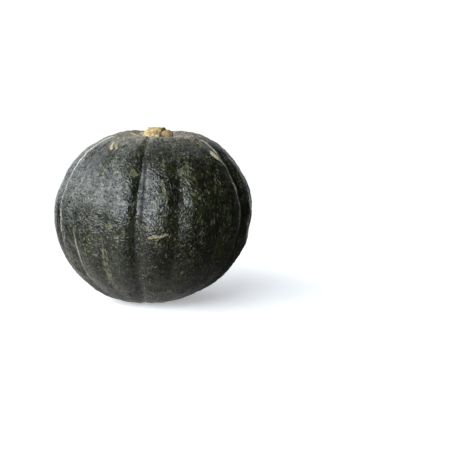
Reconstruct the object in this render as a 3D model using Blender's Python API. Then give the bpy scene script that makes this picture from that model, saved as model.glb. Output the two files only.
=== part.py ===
"""A whole kabocha pumpkin: a ribbed fruit that rests on a small flat spot, and its corky stem stub.

Metres, +Z up. The origin is the centre of the flat resting spot, and the front faces -Y.
"""

import math

import bmesh
import bpy
from mathutils import Vector

# The fruit's turned shape, before its ribs.
FRUIT_WIDTH = 0.1915  # across the belly
BELLY_HEIGHT = 0.0875  # from the resting spot up to the widest level
DOME_HEIGHT = 0.1700  # from the resting spot up to where the dome would close without its hollow
REST_RADIUS = 0.0195  # of the flat spot under the fruit
BELLY_FULLNESS = 2.09  # 2 is an ellipse, and more is squarer
SHOULDER_FULLNESS = 2.0

# The hollow in the crown, measured at the axis. The stem stands on a flat seat in its middle.
HOLLOW_RADIUS = 0.0425
HOLLOW_DEPTH = 0.0155

# The fruit grew a little askew: its crown sits to the right, and its belly hangs lower on that side.
CROWN_OFFSET = 0.0086
BELLY_SKEW = 0.0032

# Each groove between two ribs: degrees from the front towards the right, and depth in metres.
GROOVES = (
    (-68.0, 0.0024),
    (-50.0, 0.0015),
    (-26.5, 0.0012),
    (-6.2, 0.0042),
    (17.5, 0.0026),
    (44.0, 0.0014),
    (66.5, 0.0028),
    (88.0, 0.0026),
    (111.5, 0.0020),
    (133.0, 0.0032),
    (157.0, 0.0018),
    (179.0, 0.0030),
    (202.0, 0.0016),
    (224.5, 0.0034),
    (247.0, 0.0022),
    (270.5, 0.0028),
)
RIB_ROUNDNESS = 0.62  # power of the sine across a rib: less makes flatter ribs and tighter grooves
GROOVE_FADE = 0.045  # the grooves die out over this distance from the flat spot and from the stem

# Slow swellings round the fruit: turns per round, height in metres and phase in radians.
SWELLINGS = (
    (2, 0.0010, 0.9),
    (3, 0.0008, 2.3),
    (5, 0.0005, 0.4),
)

# The stem stub, a low lobed button of cork with a dished top.
STEM_RADIUS = 0.0130  # where it stands on the fruit, between its lobes and the dents beside them
STEM_HEIGHT = 0.0085
STEM_TOP_SHARE = 0.68  # the radius of its flat top as a share of its foot's
STEM_FULLNESS = 1.8  # 2 rounds its side as an ellipse, and more is squarer
STEM_LOBES = 5
STEM_LOBE_HEIGHT = 0.0011
STEM_LOBE_TWIST = 0.5  # radians from foot to top
DISH_DEPTH = 0.0012
DISH_MARGIN_SHARE = 0.25  # the width of the rim round the dish as a share of the top's radius

# Where the stem meets the fruit.
SEAT_MARGIN = 0.0025  # the seat is this much wider than the stem all round
JOIN_GAP = 0.0003

# Finishes: colour and roughness.
RIND_FINISH = ((0.030, 0.040, 0.022), 0.42)
CORK_FINISH = ((0.56, 0.38, 0.16), 0.85)

# How finely each solid is faceted.
SEGMENTS_PER_RIB = 6
FRUIT_LEVELS = 36
REST_LEVELS = 2  # of those levels, across the flat spot
SEAT_LEVELS = 2  # and across the stem's seat
STEM_SEGMENTS = 40
STEM_LEVELS = 6
SHARP_ANGLE = math.radians(50)  # edges sharper than this stay crisp

BELLY_RADIUS = FRUIT_WIDTH / 2
SEAT_RADIUS = STEM_RADIUS + STEM_LOBE_HEIGHT + SEAT_MARGIN


def smoothstep(value):
    """0 below 0, 1 above 1, and a smooth rise in between."""
    share = min(1.0, max(0.0, value))
    return share * share * (3 - 2 * share)


def angle_at(radius, power):
    """A superellipse's angle above or below the belly where it has this radius."""
    return math.acos((radius / BELLY_RADIUS) ** (power / 2))


REST_ANGLE = -angle_at(REST_RADIUS, BELLY_FULLNESS)
SEAT_ANGLE = angle_at(SEAT_RADIUS, SHOULDER_FULLNESS)
BELLY_REACH = BELLY_HEIGHT / math.sin(-REST_ANGLE) ** (2 / BELLY_FULLNESS)
SHOULDER_REACH = DOME_HEIGHT - BELLY_HEIGHT


def dome(angle):
    """(radius, height) of the turned shape at an angle of -pi/2 to pi/2 above the belly."""
    power, reach = (BELLY_FULLNESS, -BELLY_REACH) if angle < 0 else (SHOULDER_FULLNESS, SHOULDER_REACH)
    radius = BELLY_RADIUS * math.cos(angle) ** (2 / power)
    height = BELLY_HEIGHT + reach * abs(math.sin(angle)) ** (2 / power)
    if angle > 0:
        height -= HOLLOW_DEPTH * (1 - smoothstep(radius / HOLLOW_RADIUS))
    return radius, height


SEAT_HEIGHT = dome(SEAT_ANGLE)[1]


def profile(level):
    """(radius, height, angle) at a level from 0, the bottom pole, to FRUIT_LEVELS, the top pole."""
    from_top = FRUIT_LEVELS - level
    if level <= REST_LEVELS:
        return REST_RADIUS * level / REST_LEVELS, 0.0, REST_ANGLE
    if from_top <= SEAT_LEVELS:
        return SEAT_RADIUS * from_top / SEAT_LEVELS, SEAT_HEIGHT, SEAT_ANGLE
    share = (level - REST_LEVELS) / (FRUIT_LEVELS - REST_LEVELS - SEAT_LEVELS)
    angle = REST_ANGLE + share * (SEAT_ANGLE - REST_ANGLE)
    return *dome(angle), angle


def outward(angle):
    """The direction out of the turned shape's surface, as (radial, vertical)."""
    step = 1e-4
    low, high = dome(angle - step), dome(angle + step)
    along = Vector((high[0] - low[0], high[1] - low[1])).normalized()
    return along.y, -along.x


def across_ribs(turn):
    """(azimuth in radians, how deep the groove is cut) at a share of a full turn, an equal share a rib."""
    rib, share = divmod(turn * len(GROOVES), 1)
    first = GROOVES[int(rib) % len(GROOVES)]
    second = GROOVES[(int(rib) + 1) % len(GROOVES)]
    width = (second[0] - first[0]) % 360
    depth = first[1] + share * (second[1] - first[1])
    bulge = math.sin(math.pi * share) ** RIB_ROUNDNESS
    return math.radians(first[0] + share * width), depth * (1 - bulge)


def swelling(azimuth, angle):
    """How far the skin stands out from the turned shape, apart from its ribs."""
    return math.cos(angle) * sum(
        height * math.sin(turns * azimuth + phase + angle)
        for turns, height, phase in SWELLINGS
    )


def crown_shift(height):
    """How far to the right the fruit's axis has wandered at this height."""
    return CROWN_OFFSET * height / SEAT_HEIGHT


def skin_point(turn, level):
    """A point of the fruit's skin, from its share of a full turn and its level."""
    radius, height, angle = profile(level)
    azimuth, groove = across_ribs(turn)
    from_flat = radius - (REST_RADIUS if angle < 0 else SEAT_RADIUS)
    fade = smoothstep(from_flat / GROOVE_FADE)
    push = fade * (swelling(azimuth, angle) - groove)
    radial, vertical = outward(angle)
    radius += push * radial
    height += push * vertical
    side = math.sin(azimuth)
    height -= fade * BELLY_SKEW * side * math.cos(angle) ** 2 * smoothstep(height / BELLY_HEIGHT)
    return Vector((radius * side + crown_shift(height), -radius * math.cos(azimuth), height))


def make_material(name, colour, roughness):
    """A plain finish that is not metal."""
    material = bpy.data.materials.new(name)
    material.use_nodes = True
    shader = material.node_tree.nodes["Principled BSDF"]
    shader.inputs["Base Color"].default_value = (*colour, 1)
    shader.inputs["Roughness"].default_value = roughness
    shader.inputs["Metallic"].default_value = 0
    return material


def add_object(name, shape, material, collection):
    """Puts the shape in the collection as a smooth-shaded object."""
    mesh = bpy.data.meshes.new(name)
    shape.normal_update()
    shape.to_mesh(mesh)
    shape.free()
    mesh.materials.append(material)
    mesh.shade_smooth()
    mesh.set_sharp_from_angle(angle=SHARP_ANGLE)
    made = bpy.data.objects.new(name, mesh)
    collection.objects.link(made)
    return made


def make_fruit(collection):
    """A unit sphere whose every point is moved to the skin: its poles are the flat spot and the seat."""
    shape = bmesh.new()
    segments = SEGMENTS_PER_RIB * len(GROOVES)
    bmesh.ops.create_uvsphere(shape, u_segments=segments, v_segments=FRUIT_LEVELS, radius=1)
    for vert in shape.verts:
        latitude = math.asin(max(-1.0, min(1.0, vert.co.z)))
        level = round((latitude / math.pi + 0.5) * FRUIT_LEVELS)
        turn = round(math.atan2(vert.co.y, vert.co.x) / math.tau * segments) / segments
        vert.co = skin_point(turn % 1, level)
    return add_object("fruit", shape, make_material("rind", *RIND_FINISH), collection)


def stem_radius(share):
    """The stub's radius at a share of its height: upright at the foot and rounding over to the top."""
    rounding = (1 - share**STEM_FULLNESS) ** (1 / STEM_FULLNESS)
    return STEM_RADIUS * (STEM_TOP_SHARE + (1 - STEM_TOP_SHARE) * rounding)


def make_stem(collection):
    """A unit cylinder, its side cut into levels and its top inset, drawn in and lobed all round."""
    shape = bmesh.new()
    bmesh.ops.create_cone(shape, cap_ends=True, segments=STEM_SEGMENTS, radius1=1, radius2=1, depth=1)
    upright = [e for e in shape.edges if e.calc_length() > 1 - 1e-6]
    bmesh.ops.subdivide_edges(shape, edges=upright, cuts=STEM_LEVELS - 1)
    shape.normal_update()
    top = [f for f in shape.faces if f.normal.z > 1 - 1e-6]
    bmesh.ops.inset_region(shape, faces=top, thickness=DISH_MARGIN_SHARE)
    for vert in shape.verts:
        share = vert.co.z + 0.5
        outline = vert.co.to_2d().length
        azimuth = math.atan2(vert.co.y, vert.co.x)
        lobe = STEM_LOBE_HEIGHT * math.sin(STEM_LOBES * azimuth + STEM_LOBE_TWIST * share)
        radius = (stem_radius(share) + lobe) * outline
        height = STEM_HEIGHT * share - (DISH_DEPTH if outline < 1 - 1e-3 else 0)
        vert.co = Vector((radius * math.cos(azimuth), radius * math.sin(azimuth), height))
    stem = add_object("stem", shape, make_material("cork", *CORK_FINISH), collection)
    stem.location = (crown_shift(SEAT_HEIGHT), 0, SEAT_HEIGHT + JOIN_GAP)


def main():
    for old in list(bpy.data.objects):
        bpy.data.objects.remove(old)
    collection = bpy.data.collections.new("kabocha_pumpkin")
    bpy.context.scene.collection.children.link(collection)
    make_fruit(collection)
    make_stem(collection)


main()
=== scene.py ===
"""A whole kabocha pumpkin on a pale floor: its ribbed rind, its corky stem stub and the studio round it.

Laid out as an add-on and run as a script. Metres, +Z up, the front faces -Y.
"""

import math

import bpy
import numpy as np
from bpy.props import FloatProperty, FloatVectorProperty, PointerProperty
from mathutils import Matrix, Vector, noise


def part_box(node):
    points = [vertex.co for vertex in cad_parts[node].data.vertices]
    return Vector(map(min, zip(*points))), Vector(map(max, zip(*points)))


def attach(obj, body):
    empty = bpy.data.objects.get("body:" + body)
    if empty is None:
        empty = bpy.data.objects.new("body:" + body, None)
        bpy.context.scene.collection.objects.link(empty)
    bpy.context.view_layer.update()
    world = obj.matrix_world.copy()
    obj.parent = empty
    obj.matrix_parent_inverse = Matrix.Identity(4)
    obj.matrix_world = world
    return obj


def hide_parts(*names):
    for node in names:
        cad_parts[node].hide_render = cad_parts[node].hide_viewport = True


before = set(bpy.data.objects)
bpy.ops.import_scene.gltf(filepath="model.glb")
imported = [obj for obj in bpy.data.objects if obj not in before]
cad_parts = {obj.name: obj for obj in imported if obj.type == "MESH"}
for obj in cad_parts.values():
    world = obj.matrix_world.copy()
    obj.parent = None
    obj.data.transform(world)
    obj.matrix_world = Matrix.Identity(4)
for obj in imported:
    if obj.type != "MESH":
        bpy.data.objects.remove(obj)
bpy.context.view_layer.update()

bl_info = {
    "name": "Kabocha Pumpkin",
    "version": (1, 0, 0),
    "blender": (4, 5, 0),
    "location": "3D View > Sidebar > Kabocha",
    "description": "Models a kabocha pumpkin and its studio, piece by piece",
    "category": "Add Mesh",
}

FRUIT_LOW, FRUIT_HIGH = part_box("fruit")
STEM_LOW, STEM_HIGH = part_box("stem")
FRUIT_CENTRE = (FRUIT_LOW + FRUIT_HIGH) / 2
FRUIT_SIZE = FRUIT_HIGH - FRUIT_LOW
STEM_CENTRE = (STEM_LOW + STEM_HIGH) / 2
STEM_SIZE = STEM_HIGH - STEM_LOW

# Each groove: degrees from the front towards the right, how crisp its crease is, how pale its line is above
# and below the belly, and how far beside the crease the line runs, in ribs.
GROOVES = (
    (-68.0, 0.5, 1.0, 0.3, 0.27),
    (-50.0, 0.3, 0.0, 0.5, 0.12),
    (-26.5, 0.1, 0.02, 0.08, 0.0),
    (-6.2, 1.0, 0.0, 0.0, 0.0),
    (17.5, 0.4, 0.0, 0.03, 0.0),
    (44.0, 0.05, 0.0, 0.05, 0.0),
    # the line by this groove is a painted highlight along the ridge's edge
    (66.5, 0.5, 1.0, 0.5, -0.21),
    (88.0, 0.5, 0.5, 0.1, 0.0),
    (111.5, 0.4, 0.15, 0.05, 0.0),
    (133.0, 0.8, 0.0, 0.0, 0.0),
    (157.0, 0.3, 0.2, 0.25, 0.08),
    (179.0, 0.7, 0.05, 0.0, 0.0),
    (202.0, 0.3, 0.2, 0.1, 0.0),
    (224.5, 0.9, 0.0, 0.05, 0.0),
    (247.0, 0.5, 0.4, 0.15, -0.12),
    (270.5, 0.6, 0.1, 0.2, 0.0),
)
RIBS = len(GROOVES)
RIB_ANGLE = math.tau / RIBS
AZIMUTH, CRISP, PALE_ABOVE, PALE_BELOW, LINE_SHIFT = range(5)

# The fineness of the rind's sphere, and how much larger than the fruit it starts.
SEGMENTS_PER_RIB = 27
RINGS = 216
SPHERE_MARGIN = 0.004

# How far from a groove its crease and its valley reach.
CREASE_REACH = 0.0034
VALLEY_REACH = 0.013

# The height of the fruit's widest place, and from there to the top of its dome.
BELLY_HEIGHT = 0.0875
DOME_RISE = 0.0825

# The steps from 0 to 1 in which a weight is painted.
WEIGHT_STEPS = 200


class RindSettings(bpy.types.PropertyGroup):
    """Sizes and colours of the fruit's rind."""

    dark: FloatVectorProperty(
        name="Dark green", description="Deepest colour of the rind",
        subtype="COLOR", size=3, min=0, max=1, default=(0.0021, 0.0022, 0.0008),
    )
    green: FloatVectorProperty(
        name="Olive green", description="Lighter blotches of the rind",
        subtype="COLOR", size=3, min=0, max=1, default=(0.0105, 0.0140, 0.0045),
    )
    fleck: FloatVectorProperty(
        name="Flecks", description="Small pale flecks and dashes",
        subtype="COLOR", size=3, min=0, max=1, default=(0.158, 0.154, 0.074),
    )
    # the pale stripes by the grooves, and the painted highlight by the groove at 66.5 degrees
    line: FloatVectorProperty(
        name="Groove lines", description="Pale lines that follow some grooves",
        subtype="COLOR", size=3, min=0, max=1, default=(0.62, 0.60, 0.44),
    )
    crown: FloatVectorProperty(
        name="Crown", description="Dusty brown of the crown round the stem",
        subtype="COLOR", size=3, min=0, max=1, default=(0.085, 0.070, 0.044),
    )
    crown_pale: FloatVectorProperty(
        name="Crown streaks", description="Pale streaks that run out from the stem",
        subtype="COLOR", size=3, min=0, max=1, default=(0.46, 0.41, 0.29),
    )
    scar: FloatVectorProperty(
        name="Scars", description="Healed corky scars",
        subtype="COLOR", size=3, min=0, max=1, default=(0.23, 0.215, 0.125),
    )
    valley_depth: FloatProperty(
        name="Valley depth", description="How much deeper a groove's valley is than the plain solid's",
        subtype="DISTANCE", min=0, max=0.004, default=0.0014,
    )
    crease_depth: FloatProperty(
        name="Crease depth", description="Depth of the crisp crease in a groove",
        subtype="DISTANCE", min=0, max=0.003, default=0.0009,
    )
    wobble: FloatProperty(
        name="Wobble", description="How far the rind's places wander in all directions",
        subtype="DISTANCE", min=0, max=0.006, default=0.0028,
    )
    swell_height: FloatProperty(
        name="Swells", description="Height of the broad unevenness of the ribs",
        subtype="DISTANCE", min=0, max=0.006, default=0.0016,
    )
    dent_height: FloatProperty(
        name="Dents", description="Height of the hammered dents",
        subtype="DISTANCE", min=0, max=0.004, default=0.0008,
    )
    wrinkle_height: FloatProperty(
        name="Wrinkles", description="Height of the fine wrinkles between the dents",
        subtype="DISTANCE", min=0, max=0.002, default=0.0006,
    )
    hollow_depth: FloatProperty(
        name="Hollow depth", description="How much deeper the stem's hollow is than the plain solid's",
        subtype="DISTANCE", min=0, max=0.006, default=0.0046,
    )
    brim_height: FloatProperty(
        name="Brim", description="How far the grooves are filled up at the brim of the stem's hollow",
        subtype="DISTANCE", min=0, max=0.006, default=0.0026,
    )
    pleat_height: FloatProperty(
        name="Pleats", description="Height of the pleats round the stem",
        subtype="DISTANCE", min=0, max=0.003, default=0.0015,
    )
    scar_height: FloatProperty(
        name="Scar height", description="How far the healed scars stand out",
        subtype="DISTANCE", min=0, max=0.002, default=0.0004,
    )
    blossom_depth: FloatProperty(
        name="Blossom scar", description="Depth of the round scar at the middle of the underside",
        subtype="DISTANCE", min=0, max=0.003, default=0.0014,
    )
    roughness: FloatProperty(
        name="Roughness", description="Roughness of the waxy rind", min=0, max=1, default=0.36,
    )
    coat: FloatProperty(
        name="Wax", description="How much clear wax lies on the rind", min=0, max=1, default=1.0,
    )
    coat_roughness: FloatProperty(
        name="Wax roughness", description="Roughness of the clear wax", min=0, max=1, default=0.16,
    )


class StemSettings(bpy.types.PropertyGroup):
    """Sizes and colours of the stem stub."""

    cork: FloatVectorProperty(
        name="Cork", description="Main colour of the cork",
        subtype="COLOR", size=3, min=0, max=1, default=(0.36, 0.25, 0.10),
    )
    cork_pale: FloatVectorProperty(
        name="Pale cork", description="Rubbed high spots of the cork",
        subtype="COLOR", size=3, min=0, max=1, default=(0.52, 0.40, 0.21),
    )
    # also the colour of the painted shade at the cork's foot
    crack_and_foot_shade: FloatVectorProperty(
        name="Cracks", description="Brown of the cracks and notches",
        subtype="COLOR", size=3, min=0, max=1, default=(0.13, 0.065, 0.022),
    )
    voxel: FloatProperty(
        name="Grain", description="Facet size of the cork",
        subtype="DISTANCE", min=0.0002, max=0.002, default=0.00035,
    )
    sink: FloatProperty(
        name="Sink", description="How far the foot is sunk into the rind",
        subtype="DISTANCE", min=0, max=0.006, default=0.0048,
    )


class StageSettings(bpy.types.PropertyGroup):
    """The floor, the light and the camera."""

    floor: FloatVectorProperty(
        name="Floor", description="Colour of the floor",
        subtype="COLOR", size=3, min=0, max=1, default=(0.90, 0.90, 0.90),
    )
    floor_size: FloatProperty(
        name="Floor size", description="Width of the floor",
        subtype="DISTANCE", min=0.4, max=10, default=0.68,
    )
    floor_glow: FloatProperty(
        name="Floor glow", description="Light that the floor adds, so that its shadow stays pale",
        min=0, max=2, default=0.34,
    )
    floor_bright: FloatProperty(
        name="Bright floor", description="Floor on the window's side, as the gloss mirrors it",
        min=0, max=10, default=0.62,
    )
    floor_dim: FloatProperty(
        name="Dim floor", description="Floor on the far side, as the gloss mirrors it",
        min=0, max=10, default=0.04,
    )
    window: FloatProperty(
        name="Window light", description="Strength of the wide light at the front and left",
        min=0, max=20, default=5.0,
    )
    overhead: FloatProperty(
        name="Overhead light", description="Strength of the light from above",
        min=0, max=20, default=0.12,
    )
    backdrop: FloatProperty(
        name="Backdrop light", description="Strength of the light from behind",
        min=0, max=20, default=1.6,
    )
    shade: FloatProperty(
        name="Shade", description="Strength of the dim side at the front right",
        min=0, max=5, default=0.02,
    )
    elevation: FloatProperty(
        name="Elevation", description="How far above level the camera stands",
        subtype="ANGLE", min=0, max=math.pi / 2, default=math.radians(8),
    )
    distance: FloatProperty(
        name="Distance", description="From the camera to what it looks at",
        subtype="DISTANCE", min=0.2, max=10, default=1.2,
    )
    lens: FloatProperty(
        name="Lens", description="Focal length in millimetres", min=10, max=300, default=99.0,
    )
    aim: FloatVectorProperty(
        name="Aim", description="What the camera looks at, from the fruit's middle",
        subtype="TRANSLATION", size=3, default=(0.0698, 0.001, -0.0098),
    )


def settings(name):
    """One of the scene's groups of settings."""
    return getattr(bpy.context.scene, name)


# ---- Modelling helpers ----


def deselect_all():
    """Leaves nothing selected and nothing active."""
    bpy.ops.object.select_all(action="DESELECT")
    bpy.context.view_layer.objects.active = None


def select_only(*objects):
    """Selects these objects, the first of them active."""
    deselect_all()
    for each in objects:
        each.select_set(True)
    bpy.context.view_layer.objects.active = objects[0]


def new_object(name):
    """Names the object that an operator has just added."""
    made = bpy.context.active_object
    made.name = made.data.name = name
    return made


def apply_modifiers(piece):
    """Makes every modifier on the piece part of its mesh."""
    select_only(piece)
    for modifier in list(piece.modifiers):
        bpy.ops.object.modifier_apply(modifier=modifier.name)


def coordinates(piece):
    """The piece's vertices as an array."""
    flat = np.empty(len(piece.data.vertices) * 3)
    piece.data.vertices.foreach_get("co", flat)
    return flat.reshape(-1, 3)


def set_coordinates(piece, points):
    """Moves the piece's vertices to these points."""
    piece.data.vertices.foreach_set("co", np.asarray(points, float).ravel())
    piece.data.update()


def dress(piece, material):
    """Gives the piece smooth shading and this one material."""
    select_only(piece)
    bpy.ops.object.shade_smooth()
    piece.data.materials.clear()
    piece.data.materials.append(material)


def displace(piece, name, strength, texture=None, group="", middle=0.5):
    """Adds a Displace modifier along the normals."""
    modifier = piece.modifiers.new(name, "DISPLACE")
    modifier.strength = strength
    modifier.mid_level = middle
    modifier.direction = "NORMAL"
    modifier.vertex_group = group
    if texture:
        modifier.texture = texture
        modifier.texture_coords = "LOCAL"
    return modifier


def cloud_texture(name, size, depth=2, hard=False):
    """A cloudy texture for a Displace modifier."""
    made = bpy.data.textures.new(name, "CLOUDS")
    made.noise_scale = size
    made.noise_depth = depth
    made.noise_type = "HARD_NOISE" if hard else "SOFT_NOISE"
    return made


def smooth_fall(distance, near, far):
    """1 up to the near distance, 0 past the far one, and a smooth fall in between."""
    share = np.clip((distance - near) / (far - near), 0, 1)
    return 1 - share * share * (3 - 2 * share)


# ---- Shader helpers ----


class Nodes:
    """A node tree, with a short call for each kind of node."""

    def __init__(self, tree):
        self.tree = tree

    def put(self, socket, value):
        """Links a socket into another, or sets its value."""
        if isinstance(value, bpy.types.NodeSocket):
            self.tree.links.new(value, socket)
        elif hasattr(value, "__len__") and socket.type == "RGBA" and len(value) == 3:
            socket.default_value = (*value, 1)
        else:
            socket.default_value = value

    def node(self, kind, inputs=(), **options):
        """Adds a node with these options and inputs."""
        made = self.tree.nodes.new(kind)
        for option, value in options.items():
            setattr(made, option, value)
        for key, value in dict(inputs).items():
            self.put(made.inputs[key], value)
        return made

    def maths(self, operation, first, second=0.0, third=0.0, clamp=False):
        """Arithmetic on values."""
        inputs = {0: first, 1: second, 2: third}
        return self.node("ShaderNodeMath", inputs, operation=operation, use_clamp=clamp).outputs[0]

    def plus(self, first, *others):
        """The sum of the values."""
        for other in others:
            first = self.maths("ADD", first, other)
        return first

    def minus(self, first, second):
        """The first value less the second."""
        return self.maths("SUBTRACT", first, second)

    def times(self, first, *others):
        """The product of the values."""
        for other in others:
            first = self.maths("MULTIPLY", first, other)
        return first

    def swing(self, value, reach):
        """Takes a noise from 0 to 1 to values round zero."""
        return self.times(self.minus(value, 0.5), reach)

    def span(self, value, low, high, start=0.0, end=1.0):
        """Takes low..high smoothly to start..end and stays there beyond."""
        inputs = {"Value": value, 1: low, 2: high, 3: start, 4: end}
        return self.node("ShaderNodeMapRange", inputs, interpolation_type="SMOOTHSTEP").outputs[0]

    def parts(self, vector):
        """A vector's three values."""
        return self.node("ShaderNodeSeparateXYZ", {0: vector}).outputs


class Recipe(Nodes):
    """A material's node tree."""

    def __init__(self, name):
        self.material = bpy.data.materials.new(name)
        self.material.use_nodes = True
        super().__init__(self.material.node_tree)
        self.shader = self.tree.nodes["Principled BSDF"]
        self.place = self.node("ShaderNodeTexCoord").outputs["Object"]

    def attribute(self, name):
        """A value painted on the mesh."""
        return self.node("ShaderNodeAttribute", attribute_name=name).outputs["Fac"]

    def vector(self, operation, first, second):
        """Arithmetic on vectors."""
        return self.node("ShaderNodeVectorMath", {0: first, 1: second}, operation=operation).outputs["Vector"]

    def scaled(self, vector, scale):
        """A vector times three factors."""
        return self.vector("MULTIPLY", vector, scale)

    def combined(self, x, y, z):
        """A vector of three values."""
        return self.node("ShaderNodeCombineXYZ", {0: x, 1: y, 2: z}).outputs[0]

    def clouds(self, vector, scale, detail=3.0, roughness=0.5, warp=0.0):
        """Noise from 0 to 1."""
        inputs = {"Vector": vector, "Scale": scale, "Detail": detail, "Roughness": roughness}
        return self.node("ShaderNodeTexNoise", {**inputs, "Distortion": warp}).outputs["Fac"]

    def warped(self, scale, reach, middle=0.5):
        """The piece's places, shifted by noise times this reach."""
        shift = self.node("ShaderNodeTexNoise", {"Vector": self.place, "Scale": scale}).outputs["Color"]
        shift = self.vector("SUBTRACT", shift, (middle,) * 3)
        return self.vector("ADD", self.place, self.scaled(shift, (reach,) * 3))

    def cells(self, vector, scale):
        """Voronoi cells: the distance to a cell's point, and the cell's random value."""
        made = self.node("ShaderNodeTexVoronoi", {"Vector": vector, "Scale": scale})
        chance = self.node("ShaderNodeSeparateColor", {"Color": made.outputs["Color"]}).outputs[0]
        return made.outputs["Distance"], chance

    def cell_edges(self, vector, scale):
        """The distance to the nearest edge of a Voronoi cell."""
        inputs = {"Vector": vector, "Scale": scale}
        return self.node("ShaderNodeTexVoronoi", inputs, feature="DISTANCE_TO_EDGE").outputs["Distance"]

    def blend(self, share, first, second):
        """Mixes two colours."""
        made = self.node("ShaderNodeMix", {"Factor": share}, data_type="RGBA")
        self.put(made.inputs[6], first)
        self.put(made.inputs[7], second)
        return made.outputs[2]

    def bump(self, height, distance, normal=None):
        """Turns a height from 0 to 1 into relief of this many metres."""
        inputs = {"Height": height, "Distance": distance, "Strength": 1.0}
        if normal:
            inputs["Normal"] = normal
        return self.node("ShaderNodeBump", inputs).outputs["Normal"]

    def finish(self, colour, roughness, normal=None, **plain):
        """Wires up the surface and sets the shader's plain values."""
        self.put(self.shader.inputs["Base Color"], colour)
        self.put(self.shader.inputs["Roughness"], roughness)
        if normal:
            self.put(self.shader.inputs["Normal"], normal)
        for name, value in plain.items():
            self.shader.inputs[name.replace("_", " ")].default_value = value
        return self.material


# ---- The rind ----


def axis_shift(height):
    """How far to the right the fruit's axis has wandered at this height."""
    return STEM_CENTRE.x * height / STEM_LOW.z


def make_guide():
    """A smooth copy of the fruit's solid for the rind to be wrapped on."""
    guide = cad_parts["fruit"].copy()
    guide.data = guide.data.copy()
    bpy.context.scene.collection.objects.link(guide)
    select_only(guide)
    bpy.ops.object.mode_set(mode="EDIT")
    bpy.ops.mesh.select_all(action="SELECT")
    bpy.ops.mesh.remove_doubles(threshold=0.00001)
    bpy.ops.mesh.tris_convert_to_quads(face_threshold=math.radians(60), shape_threshold=math.radians(60))
    bpy.ops.object.mode_set(mode="OBJECT")
    smooth = guide.modifiers.new("smooth", "SUBSURF")
    smooth.levels = smooth.render_levels = 2
    apply_modifiers(guide)
    return guide


def rib_places(piece):
    """Each vertex's place round the fruit, in ribs from the first groove."""
    mesh = piece.data
    corner_vertex = np.empty(len(mesh.loops), int)
    mesh.loops.foreach_get("vertex_index", corner_vertex)
    corner_uv = np.empty(len(mesh.loops) * 2)
    mesh.uv_layers.active.data.foreach_get("uv", corner_uv)
    turns = np.zeros(len(mesh.vertices))
    turns[corner_vertex] = corner_uv[::2]
    return (turns * RIBS) % RIBS


def groove_table(ribs, column):
    """A column of the table at each vertex: the azimuth is eased, the rest is the nearest groove's."""
    # a vertex on a groove stays with it whichever way its place was rounded
    places = ribs + 1e-6
    before = np.floor(places).astype(int) % RIBS
    after = (before + 1) % RIBS
    share = ribs - np.floor(places)
    values = np.array([groove[column] for groove in GROOVES])
    if column == AZIMUTH:
        return values[before] + share * ((values[after] - values[before]) % 360)
    return values[np.where(share < 0.5, before, after)]


def turn_meridians(piece):
    """Turns the sphere's meridians so that one runs down each groove, and leans its axis."""
    points = coordinates(piece)
    azimuth = np.radians(groove_table(rib_places(piece), AZIMUTH))
    radius = np.hypot(points[:, 0], points[:, 1])
    points[:, 0] = radius * np.sin(azimuth) + axis_shift(points[:, 2])
    points[:, 1] = -radius * np.cos(azimuth)
    set_coordinates(piece, points)


def add_rind_sphere():
    """A fine sphere, drawn out to a little more than the fruit's size."""
    deselect_all()
    bpy.ops.mesh.primitive_uv_sphere_add(
        segments=RIBS * SEGMENTS_PER_RIB, ring_count=RINGS, radius=1, location=(0, 0, 0), calc_uvs=True,
    )
    rind = new_object("rind")
    bpy.ops.object.mode_set(mode="EDIT")
    bpy.ops.mesh.select_all(action="SELECT")
    half = FRUIT_SIZE / 2 + Vector((SPHERE_MARGIN,) * 3)
    bpy.ops.transform.resize(value=half, center_override=(0, 0, 0))
    bpy.ops.transform.translate(value=(0, 0, FRUIT_CENTRE.z))
    bpy.ops.object.mode_set(mode="OBJECT")
    turn_meridians(rind)
    return rind


def wrap_rind(rind, guide):
    """Draws the sphere in onto the guide."""
    wrap = rind.modifiers.new("wrap", "SHRINKWRAP")
    wrap.target = guide
    wrap.wrap_method = "PROJECT"
    wrap.use_negative_direction = True
    wrap.use_positive_direction = True
    ease = rind.modifiers.new("ease", "SMOOTH")
    ease.factor = 0.5
    ease.iterations = 2
    apply_modifiers(rind)
    bpy.data.objects.remove(guide)


# Each scar: its paleness, its run of places (degrees from the front, height) and its half-width.
SCARS = (
    (0.0, ((1.2, 0.0752), (5.0, 0.0764), (8.5, 0.0766), (11.2, 0.0780)), 0.0011),
    (0.3, ((-43.0, 0.1560), (-40.5, 0.1535), (-37.0, 0.1508)), 0.0013),
    (0.0, ((-42.0, 0.1555), (-36.0, 0.1545), (-32.0, 0.1512)), 0.0012),
    (0.6, ((-62.5, 0.1455), (-61.5, 0.1425)), 0.0018),
    (1.0, ((55.0, 0.1440), (57.0, 0.1412)), 0.0032),
    (1.0, ((57.0, 0.1412), (59.5, 0.1378)), 0.0014),
    (0.0, ((142.0, 0.102), (149.0, 0.098)), 0.0013),
    (0.5, ((208.0, 0.061), (211.0, 0.058)), 0.0014),
    (0.2, ((236.0, 0.131), (240.0, 0.124)), 0.0011),
)

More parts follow.
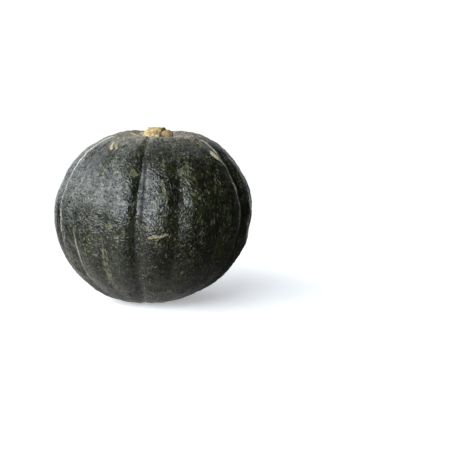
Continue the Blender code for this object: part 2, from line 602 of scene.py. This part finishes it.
# Pale dashes and patches: each a run of places like a scar's, and its half-width.
DASHES = (
    (((8.7, 0.149), (8.7, 0.129)), 0.0012),
    (((8.0, 0.125), (10.3, 0.107)), 0.0016),
    (((25.0, 0.144), (23.6, 0.122)), 0.0010),
    (((24.0, 0.115), (27.8, 0.111)), 0.0013),
    (((35.1, 0.122), (36.3, 0.113)), 0.0011),
    (((46.0, 0.127), (42.5, 0.112)), 0.0010),
    (((-22.6, 0.0855), (-20.2, 0.0842)), 0.0022),
    (((-0.6, 0.0850), (2.6, 0.0835)), 0.0022),
    (((-11.5, 0.133), (-10.2, 0.130)), 0.0020),
    (((-37.5, 0.137), (-35.5, 0.135)), 0.0020),
    (((-26.0, 0.060), (-25.0, 0.022)), 0.0030),
    (((51.0, 0.1600), (53.5, 0.1515), (54.6, 0.1449)), 0.0022),
    (((98.0, 0.128), (97.0, 0.108)), 0.0012),
    (((124.0, 0.141), (122.0, 0.120)), 0.0013),
    (((168.0, 0.118), (170.0, 0.098)), 0.0012),
    (((191.0, 0.134), (189.0, 0.116)), 0.0011),
    (((235.0, 0.090), (238.0, 0.082)), 0.0022),
    (((259.0, 0.122), (258.0, 0.101)), 0.0012),
)

# The run of places where the wax is worn.
WORN_RUN = ((-42.0, 0.151), (-38.0, 0.139))


def distance_to_run(skin, run):
    """How far each vertex is from a run of places on the skin, along the skin."""
    # level steps count for less up on the shoulder, where the skin slopes
    slope = np.clip((skin.height - BELLY_HEIGHT) / DOME_RISE, -0.95, 0.95)
    stretch = np.sqrt(1 - slope**2)
    nearest = np.full(len(skin.points), 9.0)
    for (azimuth_a, height_a), (azimuth_b, height_b) in zip(run, run[1:]):
        across = ((skin.azimuths - azimuth_a + 180) % 360 - 180) * np.radians(1) * skin.radius
        up = (skin.height - height_a) / stretch
        run_across = ((azimuth_b - azimuth_a + 180) % 360 - 180) * np.radians(1) * skin.radius
        run_up = (height_b - height_a) / stretch
        share = np.clip((across * run_across + up * run_up) / (run_across**2 + run_up**2), 0, 1)
        nearest = np.minimum(nearest, np.hypot(across - share * run_across, up - share * run_up))
    return nearest


class Skin:
    """Where each vertex of the rind is on the fruit, with calls that weigh and paint them."""

    def __init__(self, rind):
        self.rind = rind
        self.points = coordinates(rind)
        self.height = self.points[:, 2]
        self.radius = np.hypot(self.points[:, 0] - axis_shift(self.height), self.points[:, 1])
        self.top = self.height > FRUIT_CENTRE.z
        self.ribs = rib_places(rind)
        self.azimuths = groove_table(self.ribs, AZIMUTH)
        self.crisp = groove_table(self.ribs, CRISP)
        from_groove = np.abs((self.ribs + 0.5) % 1 - 0.5)
        self.across = from_groove * self.radius * RIB_ANGLE

    def on_top(self, values):
        """The values above the fruit's middle, and 0 below it."""
        return np.where(self.top, values, 0.0)

    def weigh(self, name, weights):
        """A vertex group with these weights, from 0 to 1."""
        group = self.rind.vertex_groups.new(name=name)
        steps = np.clip(np.round(weights * WEIGHT_STEPS), 0, WEIGHT_STEPS).astype(int)
        for step in np.unique(steps[steps > 0]):
            group.add(np.flatnonzero(steps == step).tolist(), step / WEIGHT_STEPS, "REPLACE")

    def paint(self, name, values):
        """A value for each vertex, for the material to read."""
        layer = self.rind.data.attributes.new(name, "FLOAT", "POINT")
        layer.data.foreach_set("value", np.asarray(values, np.float32))


def weigh_grooves(skin):
    """Where the creases and valleys go: they fade out at the crown and at the resting spot."""
    fade = np.where(skin.top, np.clip((skin.radius - 0.043) / 0.040, 0, 1), np.clip(skin.radius / 0.05, 0, 1))
    skin.weigh("crease", skin.crisp * fade * smooth_fall(skin.across, 0.0, CREASE_REACH))
    valley = fade * (0.3 + 0.7 * skin.crisp) * smooth_fall(skin.across, 0.0, VALLEY_REACH)
    skin.weigh("valley", valley)


def weigh_crown(skin):
    """Where the brim, the hollow and the pleats go, all round the stem."""
    crown = skin.on_top(smooth_fall(skin.radius, 0.026, 0.083))
    skin.paint("crown", crown)
    brim = skin.on_top(smooth_fall(skin.radius, 0.060, 0.088) - smooth_fall(skin.radius, 0.024, 0.052))
    brim = brim * (0.25 + 0.75 * skin.crisp)
    skin.weigh("brim", brim * smooth_fall(skin.across / (0.006 + 0.006 * skin.crisp), 0.0, 1.0))
    angles = np.radians(skin.azimuths)
    deeper_in_front = 0.62 + 0.38 * np.cos(angles)
    skin.weigh("hollow", skin.on_top(deeper_in_front * smooth_fall(skin.radius, 0.019, 0.062)))
    pleats = np.zeros(len(skin.points))
    for index in np.flatnonzero(crown > 0):
        angle = angles[index]
        spot = Vector((math.sin(angle) * 5.5, math.cos(angle) * 5.5, skin.height[index] * 25))
        pleats[index] = crown[index] * min(1.0, max(0.0, 0.5 + 0.9 * noise.noise(spot)))
    seam = 0.5 + 0.5 * np.cos(skin.ribs * math.tau)
    skin.weigh("pleats", np.clip(pleats * 0.8 + 0.2 * crown * (1 - seam), 0, 1))


def weigh_lively(skin):
    """Where the rind is uneven: not at the resting spot, and less under the stem."""
    flat = (skin.height < 0.0012) & (skin.radius < 0.024)
    lively = np.where(flat, 0.0, np.clip(skin.height / 0.012, 0, 1))
    lively = lively * (1 - 0.7 * smooth_fall(skin.radius, 0.015, 0.030) * skin.top)
    skin.weigh("lively", lively)


def mark_scars(skin):
    """Where the healed scars are, the round one left by the blossom among them."""
    scar = np.zeros(len(skin.points))
    pale = np.zeros(len(skin.points))
    for paleness, run, half_width in SCARS:
        cover = smooth_fall(distance_to_run(skin, run), 0.4 * half_width, 1.7 * half_width)
        scar = np.maximum(scar, cover)
        pale = np.maximum(pale, cover * paleness)
    blossom = np.where(skin.top, 0.0, smooth_fall(skin.radius, 0.0025, 0.0065))
    scar = np.maximum(scar, blossom)
    skin.weigh("blossom", blossom)
    skin.weigh("scar", scar)
    skin.paint("healed", scar)
    skin.paint("scar_pale", pale)


def mark_colours(skin):
    """Where the dashes, the worn spot and the grooves' lines are, for the material to read."""
    dashes = np.zeros(len(skin.points))
    for run, half_width in DASHES:
        cover = smooth_fall(distance_to_run(skin, run), 0.2 * half_width, 2.2 * half_width)
        dashes = np.maximum(dashes, cover)
    skin.paint("dashes", dashes)
    skin.paint("worn", smooth_fall(distance_to_run(skin, WORN_RUN), 0.004, 0.017))
    above = np.clip((skin.height - 0.070) / 0.012, 0, 1)
    pale = groove_table(skin.ribs, PALE_ABOVE) * above + groove_table(skin.ribs, PALE_BELOW) * (1 - above)
    skin.paint("groove_pale", pale)
    skin.paint("groove_crisp", skin.crisp)
    skin.paint("line_shift", groove_table(skin.ribs, LINE_SHIFT))
    # where the painted shade of the furrow beside the crispest creases goes
    waist = np.clip((skin.height - 0.080) / 0.012, 0, 1) * np.clip((0.150 - skin.height) / 0.012, 0, 1)
    skin.paint("furrow_shade", np.clip(skin.crisp * 2 - 1, 0, 1) * waist)


def press_relief(rind):
    """Presses the dents, grooves, pleats and scars into the rind."""
    look = settings("kabocha_rind")
    wobble = displace(rind, "wobble", look.wobble, cloud_texture("wobble", 0.030, 1), "lively")
    wobble.texture.cloud_type = "COLOR"
    wobble.direction = "RGB_TO_XYZ"
    unevenness = (
        ("swells", look.swell_height, 0.020, 1, False),
        ("dents", look.dent_height, 0.0065, 1, False),
        ("wrinkles", look.wrinkle_height, 0.0030, 2, True),
    )
    for name, strength, size, depth, hard in unevenness:
        displace(rind, name, strength, cloud_texture(name, size, depth, hard), "lively")
    features = (
        ("valley", -look.valley_depth, 0),
        ("crease", -look.crease_depth, 0),
        ("brim", look.brim_height, 0),
        ("hollow", -look.hollow_depth, 0),
        ("pleats", look.pleat_height, 0.4),
        ("scar", look.scar_height, 0),
        ("blossom", -look.blossom_depth, 0),
    )
    for group, strength, middle in features:
        displace(rind, group, strength, group=group, middle=middle)
    apply_modifiers(rind)

    # press flat whatever came below the floor
    points = coordinates(rind)
    points[:, 2] = np.maximum(points[:, 2], 0)
    set_coordinates(rind, points)


def shape_rind(rind):
    """Works out where each feature of the rind is, and shapes it."""
    skin = Skin(rind)
    weigh_grooves(skin)
    weigh_crown(skin)
    weigh_lively(skin)
    mark_scars(skin)
    mark_colours(skin)
    press_relief(rind)


# Fixed colours of the rind's markings.
GRAIN_PALE = (0.036, 0.038, 0.015)
GRAIN_DARK = (0.001, 0.001, 0.001)
# painted reflection of the pale floor, low down on the rind
FLOOR_REFLECTION_TINT = (0.060, 0.064, 0.050)
# painted shade in the crisp creases
CREASE_SHADE = (0.004, 0.004, 0.003)
# painted shade of the furrow beside the crispest creases
FURROW_SHADE = (0.003, 0.003, 0.002)
RIM_DARK = (0.008, 0.007, 0.004)
RIM_PALE = (0.19, 0.18, 0.11)
SCAR_BROWN = (0.15, 0.10, 0.05)
SCAR_PALE = (0.66, 0.58, 0.38)

# The two sorts of flecks: cells to the metre, size as a share of a cell, share of cells left empty, strength.
FLECKS = ((620, 0.45, 0.54, 0.50), (370, 0.34, 0.63, 0.78))


class RindRecipe(Recipe):
    """The rind's node tree, with the places and noises that its markings share."""

    def __init__(self):
        super().__init__("rind")
        self.look = settings("kabocha_rind")
        x, y, z = self.parts(self.place)
        across = self.minus(x, self.times(z, axis_shift(1)))
        self.radius = self.maths("SQRT", self.plus(self.times(across, across), self.times(y, y)))
        safe = self.maths("MAXIMUM", self.radius, 0.001)
        self.side = self.maths("DIVIDE", across, safe)
        front = self.maths("DIVIDE", y, safe)
        self.around = self.combined(self.side, front, z)
        self.low = self.span(z, 0.045, 0.012)
        self.crown = self.attribute("crown")

        # places round the fruit, in ribs from the nearest groove
        rib = self.parts(self.node("ShaderNodeUVMap", uv_map="UVMap").outputs[0])[0]
        self.ribs = self.minus(self.maths("FRACT", self.plus(self.times(rib, RIBS), 0.5)), 0.5)

        self.long_blotch = self.clouds(self.scaled(self.around, (7, 7, 28)), 1.0, 4, 0.6, 0.4)
        self.blotch = self.clouds(self.place, 75, 4, 0.6, 0.8)
        self.dust = self.clouds(self.place, 120, 4, 0.65)
        out_from_stem = self.combined(self.side, front, self.radius)
        self.spokes = self.clouds(self.scaled(out_from_stem, (9, 9, 55)), 1.0, 4, 0.6, 0.6)
        self.specks = self.clouds(self.scaled(out_from_stem, (26, 26, 300)), 1.0, 3, 0.6, 0.8)
        self.wander = self.swing(self.clouds(self.place, 160, 2, 0.5), 0.0012)


def base_colour(r):
    """Olive blotches on near-black green, with a fine grain, and low down a pale grey tint that is a painted
    reflection of the floor, stronger on the left.
    """
    share = r.plus(r.times(r.long_blotch, 0.5), r.times(r.blotch, 0.5))
    colour = r.blend(r.span(share, 0.47, 0.60), r.look.dark, r.look.green)
    grain = r.clouds(r.scaled(r.place, (1, 1, 0.55)), 800, 3, 0.7)
    colour = r.blend(r.span(grain, 0.50, 0.72), colour, GRAIN_PALE)
    colour = r.blend(r.times(r.span(grain, 0.46, 0.30), 0.7), colour, GRAIN_DARK)
    # painted reflection: the floor's sheen low down, stronger on the window's side
    floor_reflection = r.times(r.low, r.span(r.side, 0.2, -0.6, 0.20, 0.38))
    return r.blend(floor_reflection, colour, FLOOR_REFLECTION_TINT)


def dashed(r, colour):
    """Adds short pale dashes along the ribs, and the chains of dashes painted on the mesh."""
    dash = r.clouds(r.scaled(r.around, (34, 34, 120)), 1.0, 2, 0.5, 0.6)
    dash_place = r.clouds(r.scaled(r.around, (5, 5, 30)), 1.0, 2, 0.5)
    dashes = r.times(r.span(dash, 0.60, 0.70), r.span(dash_place, 0.42, 0.60))
    colour = r.blend(r.times(dashes, 0.55), colour, r.look.fleck)
    ragged = r.swing(r.clouds(r.scaled(r.place, (1, 1, 0.7)), 360, 3, 0.6), 3.6)
    chain = r.plus(r.attribute("dashes"), ragged)
    return r.blend(r.times(r.span(chain, 0.62, 1.15), 0.55), colour, r.look.fleck)


def flecked(r, colour):
    """Adds small flecks, drawn out a little along the ribs and frayed."""
    frayed = r.scaled(r.warped(500.0, 0.004), (1, 1, 0.7))
    fleck_place = r.clouds(r.place, 45, 3, 0.6)
    for scale, size, few, strength in FLECKS:
        distance, chance = r.cells(frayed, scale)
        edge = r.times(r.span(chance, few - 0.1, 1.0), size)
        dot = r.times(
            r.span(r.minus(distance, edge), 0.12, -0.12),
            r.span(fleck_place, 0.30, 0.62, 0.15, 1.0),
            r.span(chance, few, few + 0.1),
        )
        dot = r.maths("MULTIPLY", dot, r.maths("MULTIPLY_ADD", r.low, 0.6, strength), clamp=True)
        colour = r.blend(dot, colour, r.look.fleck)
    return colour


def along_skin(r, ribs, line):
    """How far a place round the fruit is from a line there, in metres."""
    return r.times(r.maths("ABSOLUTE", r.minus(ribs, line)), r.radius, RIB_ANGLE)


def crease_shade_mask(r):
    """Painted shade: the crisp creases darkened."""
    distance = along_skin(r, r.ribs, 0.0)
    return r.times(r.span(distance, 0.0020, 0.0002), r.attribute("groove_crisp"))


def furrow_shade_mask(r):
    """Painted shade: a dark line that wanders just beside the crispest creases, for a small furrow there."""
    wandering = r.plus(r.ribs, r.times(r.wander, 8.0))
    distance = along_skin(r, wandering, 0.105)
    return r.times(r.span(distance, 0.0022, 0.0006), r.attribute("furrow_shade"))


def stripe_and_glint_mask(r):
    """The pale line by a groove, broken here and there: on most grooves the rind's pale stripe, and at 66.5
    degrees a painted highlight along the ridge's edge.
    """
    pale = r.attribute("groove_pale")
    outer = r.maths("MULTIPLY_ADD", pale, 0.0014, 0.0007)
    distance = r.plus(along_skin(r, r.ribs, r.attribute("line_shift")), r.wander)
    gaps = r.clouds(r.scaled(r.around, (3, 3, 60)), 1.0, 2, 0.5)
    return r.times(
        r.span(distance, outer, r.times(outer, 0.4)), pale, r.span(gaps, 0.30, 0.50, 0.35, 1.0),
    )


def crown_dust_and_shade_mask(r):
    """The dust on the crown, thinned from the front to the right; on the right this is painted shade, on the
    side turned from the light.
    """
    cover = r.plus(r.crown, r.swing(r.dust, 0.9), r.swing(r.spokes, 0.7))
    # painted shade: less of the pale dust on the side turned from the light
    clear = r.times(r.span(r.side, -0.45, 0.15), r.span(r.side, 0.85, 0.60))
    return r.times(r.span(cover, 0.10, 0.90), r.maths("MULTIPLY_ADD", clear, -0.42, 0.92))


def crown_colour(r):
    """Dusty brown with pale streaks that run out from the stem, and specks at the rim."""
    near_stem = r.span(r.radius, 0.034, 0.014, 0.0, 0.10)
    pale = r.plus(r.times(r.spokes, 0.35), r.times(r.specks, 0.65), near_stem)
    colour = r.blend(r.span(pale, 0.48, 0.61), r.look.crown, r.look.crown_pale)
    rim = r.blend(r.span(r.specks, 0.42, 0.60), RIM_DARK, RIM_PALE)
    return r.blend(r.span(r.crown, 0.85, 0.35), colour, rim)


def scar_mask(r):
    """The healed scars, with ragged edges."""
    edge = r.plus(r.attribute("healed"), r.swing(r.clouds(r.place, 420, 3, 0.6), 0.9))
    return r.span(edge, 0.35, 0.62)


def scar_colour(r):
    """Mottled cork, paler on some scars."""
    mottle = r.span(r.clouds(r.place, 600, 2, 0.5), 0.35, 0.65)
    colour = r.blend(mottle, r.look.scar, SCAR_BROWN)
    return r.blend(r.attribute("scar_pale"), colour, SCAR_PALE)


def relief(r):
    """Crevices, worm-like wrinkles, fine grain, pores and the crown's streaks, each on the last."""
    worms = r.maths("ABSOLUTE", r.minus(r.clouds(r.place, 170, 2, 0.5, 1.6), 0.5))
    layers = (
        (r.span(r.cell_edges(r.warped(240.0, 0.006), 210), 0.0, 0.30), 0.00015),
        (r.span(worms, 0.0, 0.16), 0.00027),
        (r.clouds(r.place, 520, 3, 0.6, 0.5), 0.00014),
        (r.clouds(r.place, 1300, 2, 0.6), 0.00005),
        (r.times(r.plus(r.spokes, r.specks), r.crown), 0.00050),
    )
    normal = None
    for height, depth in layers:
        normal = r.bump(height, depth, normal)
    return normal


def roughness_over(r, dust_and_shade, healed):
    """Uneven with the blotches, and higher under the dust, low down and on the scars."""
    rough = r.plus(
        r.look.roughness, r.swing(r.blotch, 0.25), r.times(dust_and_shade, 0.25), r.times(r.low, 0.12),
    )
    return r.maths("ADD", rough, r.times(healed, 0.35), clamp=True)


def wax_over(r, matt):
    """How much wax lies on the rind: uneven, worn at one spot and none on the matt parts."""
    rubbed = r.span(r.clouds(r.place, 210, 3, 0.6, 1.0), 0.41, 0.57)
    broad = r.span(r.clouds(r.place, 65, 2, 0.5, 0.5), 0.40, 0.58)
    uneven = r.plus(
        r.maths("MULTIPLY_ADD", rubbed, 0.42, 0.26),
        r.times(broad, 0.34),
        r.times(r.span(r.long_blotch, 0.40, 0.60), 0.22),
    )
    wax = r.maths("MULTIPLY", r.times(r.minus(1.0, matt), uneven), r.look.coat, clamp=True)
    worn = r.times(r.attribute("worn"), r.span(r.dust, 0.35, 0.60, 0.5, 0.95))
    return r.times(wax, r.minus(1.0, worn))


def rind_material():
    """Near-black green wax with olive blotches, pale flecks, a dusty crown thinned on its right as painted
    shade, and corky scars.
    """
    r = RindRecipe()
    furrow_shade = furrow_shade_mask(r)
    dust_and_shade = crown_dust_and_shade_mask(r)
    healed = scar_mask(r)
    colour = flecked(r, dashed(r, base_colour(r)))
    # painted shade in the crisp creases
    colour = r.blend(r.times(crease_shade_mask(r), 0.75), colour, CREASE_SHADE)
    # painted shade of the furrow beside the crispest creases
    colour = r.blend(r.times(furrow_shade, 0.8), colour, FURROW_SHADE)
    colour = r.blend(dust_and_shade, colour, crown_colour(r))
    # pale stripes by the grooves, and one painted highlight along a ridge's edge
    colour = r.blend(r.times(stripe_and_glint_mask(r), 0.85), colour, r.look.line)
    colour = r.blend(healed, colour, scar_colour(r))
    normal = relief(r)
    matt = r.maths("MAXIMUM", r.maths("MAXIMUM", dust_and_shade, healed), furrow_shade)
    r.put(r.shader.inputs["Coat Weight"], wax_over(r, matt))
    r.put(r.shader.inputs["Coat Normal"], normal)
    return r.finish(
        colour, roughness_over(r, dust_and_shade, healed), normal,
        IOR=1.5, Specular_IOR_Level=0.25, Coat_IOR=1.5, Coat_Roughness=r.look.coat_roughness,
    )


class KABOCHA_OT_rind(bpy.types.Operator):
    """Model the ribbed fruit and give it its rind"""

    bl_idname = "kabocha.rind"
    bl_label = "Rind"

    def execute(self, context):
        """Wraps a fine sphere on the fruit's solid and shapes it."""
        guide = make_guide()
        rind = add_rind_sphere()
        wrap_rind(rind, guide)
        shape_rind(rind)
        dress(rind, rind_material())
        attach(rind, "root")
        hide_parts("fruit")
        return {"FINISHED"}


# ---- The stem ----

# Lumps of the stub: degrees from the front, distance from its axis, height above its foot, and half-sizes
# across and up. Those across are shares of the stub's radius, and those up are shares of the lumps' rise,
# which is this many times the stub's height.
LUMP_RISE = 1.14
LUMPS = (
    (-70, 0.40, 0.40, 0.57, 0.38),
    (-30, 0.48, 0.36, 0.50, 0.36),
    (8, 0.66, 0.26, 0.34, 0.26),
    (64, 0.85, 0.40, 0.42, 0.34),
    (96, 0.66, 0.38, 0.36, 0.34),
    (130, 0.64, 0.34, 0.38, 0.34),
    (168, 0.58, 0.38, 0.42, 0.36),
    (208, 0.62, 0.34, 0.40, 0.34),
    (246, 0.54, 0.38, 0.48, 0.38),
    (-42, 0.42, 0.72, 0.24, 0.14),
    (34, 0.44, 0.72, 0.20, 0.15),
    (105, 0.42, 0.70, 0.24, 0.14),
    (185, 0.42, 0.71, 0.24, 0.14),
    (255, 0.44, 0.70, 0.22, 0.15),
)


# The stub's middle post and its hollowed top, and the relief of its cork.
POST_SHARE = 0.58
TOP_INSET = 0.14
TOP_DIP = 0.0009
KNOB_HEIGHT = 0.0014
GRAIN_HEIGHT = 0.0005


def add_lump(azimuth, out, up, wide, tall, radius, rise, foot):
    """One squashed ball of cork."""
    angle = math.radians(azimuth)
    centre = (
        STEM_CENTRE.x + out * radius * math.sin(angle),
        STEM_CENTRE.y - out * radius * math.cos(angle),
        foot + up * rise,
    )
    bpy.ops.mesh.primitive_uv_sphere_add(
        segments=32, ring_count=16, radius=radius, location=centre, scale=(wide, wide, tall * rise / radius),
    )
    return bpy.context.active_object


def make_stem():
    """A stub of lumps grown together: joined, remeshed as one, and cracked."""
    look = settings("kabocha_stem")
    radius = STEM_SIZE.x / 2
    foot = STEM_LOW.z - look.sink
    tall = STEM_HIGH.z - foot
    deselect_all()
    bpy.ops.mesh.primitive_cylinder_add(
        vertices=48, radius=radius * POST_SHARE, depth=tall,
        location=(STEM_CENTRE.x, STEM_CENTRE.y, (STEM_HIGH.z + foot) / 2),
    )
    stem = new_object("stem_stub")
    bpy.ops.object.mode_set(mode="EDIT")
    bpy.ops.mesh.select_all(action="DESELECT")
    bpy.ops.object.mode_set(mode="OBJECT")
    for face in stem.data.polygons:
        face.select = face.normal.z > 0.9
    bpy.ops.object.mode_set(mode="EDIT")
    bpy.ops.mesh.inset(thickness=radius * TOP_INSET)
    bpy.ops.transform.translate(value=(0, 0, -TOP_DIP))
    bpy.ops.object.mode_set(mode="OBJECT")
    lumps = [add_lump(*lump, radius, tall * LUMP_RISE, foot) for lump in LUMPS]
    select_only(stem, *lumps)
    bpy.ops.object.join()
    bpy.ops.object.transform_apply(location=True, rotation=True, scale=True)
    remesh = stem.modifiers.new("one_piece", "REMESH")
    remesh.mode = "VOXEL"
    remesh.voxel_size = look.voxel
    ease = stem.modifiers.new("ease", "SMOOTH")
    ease.factor = 0.5
    ease.iterations = 6
    apply_modifiers(stem)
    displace(stem, "knobs", KNOB_HEIGHT, cloud_texture("knobs", 0.0042, 1))
    displace(stem, "grain", GRAIN_HEIGHT, cloud_texture("grain", 0.0014, 2, True))
    apply_modifiers(stem)
    return stem


# Fixed colours of the cork's right side, darkened as painted shade, and of the painted shade in its notch.
SHADED_SIDE_DARK = (0.10, 0.055, 0.016)
SHADED_SIDE_PALE = (0.22, 0.135, 0.045)
NOTCH_SHADE = (0.045, 0.022, 0.007)


def stem_material():
    """Tan cork with brown cracks and paler patches, and painted shade: darker on its right side, in a notch
    near its foot and at its foot.
    """
    look = settings("kabocha_stem")
    r = Recipe("cork")
    x, _, z = r.parts(r.place)
    grain = r.clouds(r.place, 700, 4, 0.65, 0.6)
    patch = r.clouds(r.place, 230, 3, 0.6)
    colour = r.blend(r.span(patch, 0.40, 0.62), look.cork, look.cork_pale)
    colour = r.blend(r.times(r.span(grain, 0.52, 0.30), 0.5), colour, look.crack_and_foot_shade)
    cracks = r.span(r.cell_edges(r.warped(300.0, 0.002, middle=0.0), 330), 0.06, 0.01)
    colour = r.blend(r.times(cracks, 0.45), colour, look.crack_and_foot_shade)
    # painted shade: the cork darkens on its right side, away from the light
    shaded_side = r.plus(x, r.swing(patch, 0.012))
    shaded_side = r.span(shaded_side, STEM_CENTRE.x + 0.0015, STEM_CENTRE.x + 0.0075, 0.0, 0.60)
    colour = r.blend(shaded_side, colour, r.blend(grain, SHADED_SIDE_DARK, SHADED_SIDE_PALE))
    # painted shade: a dark notch in the cork near its foot
    notch_shade = r.span(r.maths("ABSOLUTE", r.minus(x, STEM_CENTRE.x + 0.0040)), 0.0016, 0.0003)
    notch_shade = r.times(notch_shade, r.span(z, STEM_LOW.z + 0.0055, STEM_LOW.z + 0.0020))
    colour = r.blend(r.times(notch_shade, 0.8), colour, NOTCH_SHADE)
    # painted shade: the cork darkens towards its foot, where it meets the rind
    low = r.span(z, STEM_LOW.z + 0.0015, STEM_LOW.z - 0.0025)
    colour = r.blend(r.times(low, 0.45), colour, look.crack_and_foot_shade)
    normal = r.bump(r.minus(grain, r.times(cracks, 0.5)), 0.0005)
    return r.finish(colour, r.span(patch, 0.3, 0.7, 0.78, 0.92), normal)


class KABOCHA_OT_stem(bpy.types.Operator):
    """Model the corky stem stub"""

    bl_idname = "kabocha.stem"
    bl_label = "Stem stub"

    def execute(self, context):
        """Builds the stub and gives it its cork."""
        stem = make_stem()
        dress(stem, stem_material())
        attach(stem, "root")
        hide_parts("stem")
        return {"FINISHED"}


# ---- The stage ----


# The colours of the light and of the plain wall that the camera sees, and how bright that wall is.
COOL_WHITE = (0.92, 0.98, 1.05, 1)
WHITE = (1, 1, 1, 1)
PLAIN_STRENGTH = 1.05


def add_floor():
    """A round pale floor: bright to the eye, and brighter on the window's side in the rind's gloss."""
    look = settings("kabocha_stage")
    deselect_all()
    bpy.ops.mesh.primitive_circle_add(
        vertices=96, radius=look.floor_size / 2, fill_type="NGON", location=(0, 0, 0),
    )
    floor = new_object("floor")
    r = Recipe("floor")
    r.finish(
        look.floor, 0.9,
        Specular_IOR_Level=0, Emission_Color=WHITE, Emission_Strength=look.floor_glow,
    )
    side = r.parts(r.place)[0]
    by_side = r.span(side, 0.12, -0.12, look.floor_dim, look.floor_bright)
    glow = r.times(by_side, r.span(side, -0.30, -0.15, 0.35, 1.0))
    in_gloss = r.node("ShaderNodeEmission", {"Color": WHITE, "Strength": glow})
    seen = r.node("ShaderNodeLightPath").outputs["Is Camera Ray"]
    both = r.node("ShaderNodeMixShader", {0: seen, 1: in_gloss.outputs[0], 2: r.shader.outputs[0]})
    r.put(r.tree.nodes["Material Output"].inputs["Surface"], both.outputs[0])
    floor.data.materials.append(r.material)


class Sky(Nodes):
    """The world's node tree, which reads a direction: degrees from the front and degrees above level."""

    def __init__(self, name):
        world = bpy.data.worlds.new(name)
        bpy.context.scene.world = world
        world.use_nodes = True
        super().__init__(world.node_tree)
        self.tree.nodes.clear()
        x, y, z = self.parts(self.node("ShaderNodeTexCoord").outputs["Generated"])
        self.azimuth = self.times(self.maths("ARCTAN2", x, self.times(y, -1)), math.degrees(1))
        self.elevation = self.times(self.maths("ARCSINE", z), math.degrees(1))

    def background(self, colour, strength):
        """A plain light of this strength."""
        return self.node("ShaderNodeBackground", {"Color": colour, "Strength": strength}).outputs[0]

    def window(self):
        """The window at the front and left, from its sill to a top that is highest 60 degrees left."""
        turned = self.maths("COSINE", self.times(self.plus(self.azimuth, 60), math.radians(0.75)))
        top = self.times(self.maths("ARCTANGENT", self.times(turned, 1.15)), math.degrees(1))
        sill = self.minus(9, self.times(self.span(self.azimuth, -95, -12), 12))
        return self.times(
            self.span(self.azimuth, -144, -132),
            self.span(self.azimuth, 5, 0),
            self.span(self.minus(self.elevation, sill), -2, 2),
            self.span(self.minus(self.elevation, top), 6, -6),
        )

    def brightness(self):
        """How the window brightens towards the front, in two steps."""
        first = self.plus(self.times(self.span(self.azimuth, -130, -40), 0.65), 0.58)
        return self.plus(first, self.times(self.span(self.azimuth, -32, -14), 0.60))

    def behind(self):
        """The backdrop: all of it at the back left, and less at the back right."""
        left = self.times(self.span(self.azimuth, -138, -152), self.span(self.elevation, 72, 50))
        right = self.times(self.span(self.azimuth, 140, 170), self.span(self.elevation, 65, 40), 0.42)
        return self.plus(left, right)


def add_light():
    """Light from all round: a wide window, an overhead light, a backdrop and a dim side."""
    look = settings("kabocha_stage")
    sky = Sky("studio")
    light = sky.plus(
        sky.times(sky.window(), sky.brightness(), look.window),
        sky.times(sky.span(sky.elevation, 55, 80), look.overhead),
        sky.times(sky.behind(), look.backdrop),
        look.shade,
    )
    lit = sky.background(COOL_WHITE, light)
    plain = sky.background(WHITE, PLAIN_STRENGTH)
    seen = sky.node("ShaderNodeLightPath").outputs["Is Camera Ray"]
    surface = sky.node("ShaderNodeMixShader", {0: seen, 1: lit, 2: plain}).outputs[0]
    sky.node("ShaderNodeOutputWorld", {"Surface": surface})


def add_camera():
    """A camera at the front, a little above level."""
    look = settings("kabocha_stage")
    target = FRUIT_CENTRE + Vector(look.aim)
    back = Vector((0, -math.cos(look.elevation), math.sin(look.elevation)))
    deselect_all()
    bpy.ops.object.camera_add(
        location=target + back * look.distance, rotation=(math.pi / 2 - look.elevation, 0, 0),
    )
    camera = new_object("camera")
    camera.data.lens = look.lens
    camera.data.sensor_width = 36
    bpy.context.scene.camera = camera


class KABOCHA_OT_stage(bpy.types.Operator):
    """Lay the floor and set up the light and the camera"""

    bl_idname = "kabocha.stage"
    bl_label = "Stage"

    def execute(self, context):
        """Adds the floor, the light and the camera."""
        add_floor()
        add_light()
        add_camera()
        context.scene.view_settings.view_transform = "Standard"
        return {"FINISHED"}


class KABOCHA_PT_panel(bpy.types.Panel):
    """The pumpkin's pieces and settings"""

    bl_idname = "KABOCHA_PT_panel"
    bl_label = "Kabocha Pumpkin"
    bl_space_type = "VIEW_3D"
    bl_region_type = "UI"
    bl_category = "Kabocha"

    def draw(self, context):
        """A button for each step, with its settings below."""
        for operator, group in STEPS:
            box = self.layout.box()
            box.operator(operator.bl_idname)
            chosen = getattr(context.scene, group)
            for name in chosen.__annotations__:
                box.prop(chosen, name)


STEPS = (
    (KABOCHA_OT_rind, "kabocha_rind"),
    (KABOCHA_OT_stem, "kabocha_stem"),
    (KABOCHA_OT_stage, "kabocha_stage"),
)
GROUPS = {"kabocha_rind": RindSettings, "kabocha_stem": StemSettings, "kabocha_stage": StageSettings}
CLASSES = (*GROUPS.values(), *(operator for operator, _ in STEPS), KABOCHA_PT_panel)


def register():
    """Adds the classes and a group of settings for each step."""
    for each in CLASSES:
        bpy.utils.register_class(each)
    for name, group in GROUPS.items():
        setattr(bpy.types.Scene, name, PointerProperty(type=group))


def unregister():
    """Takes away what register added."""
    for name in GROUPS:
        delattr(bpy.types.Scene, name)
    for each in reversed(CLASSES):
        bpy.utils.unregister_class(each)


def main():
    """Builds everything."""
    register()
    bpy.ops.kabocha.rind()
    bpy.ops.kabocha.stem()
    bpy.ops.kabocha.stage()


if __name__ == "__main__":
    main()
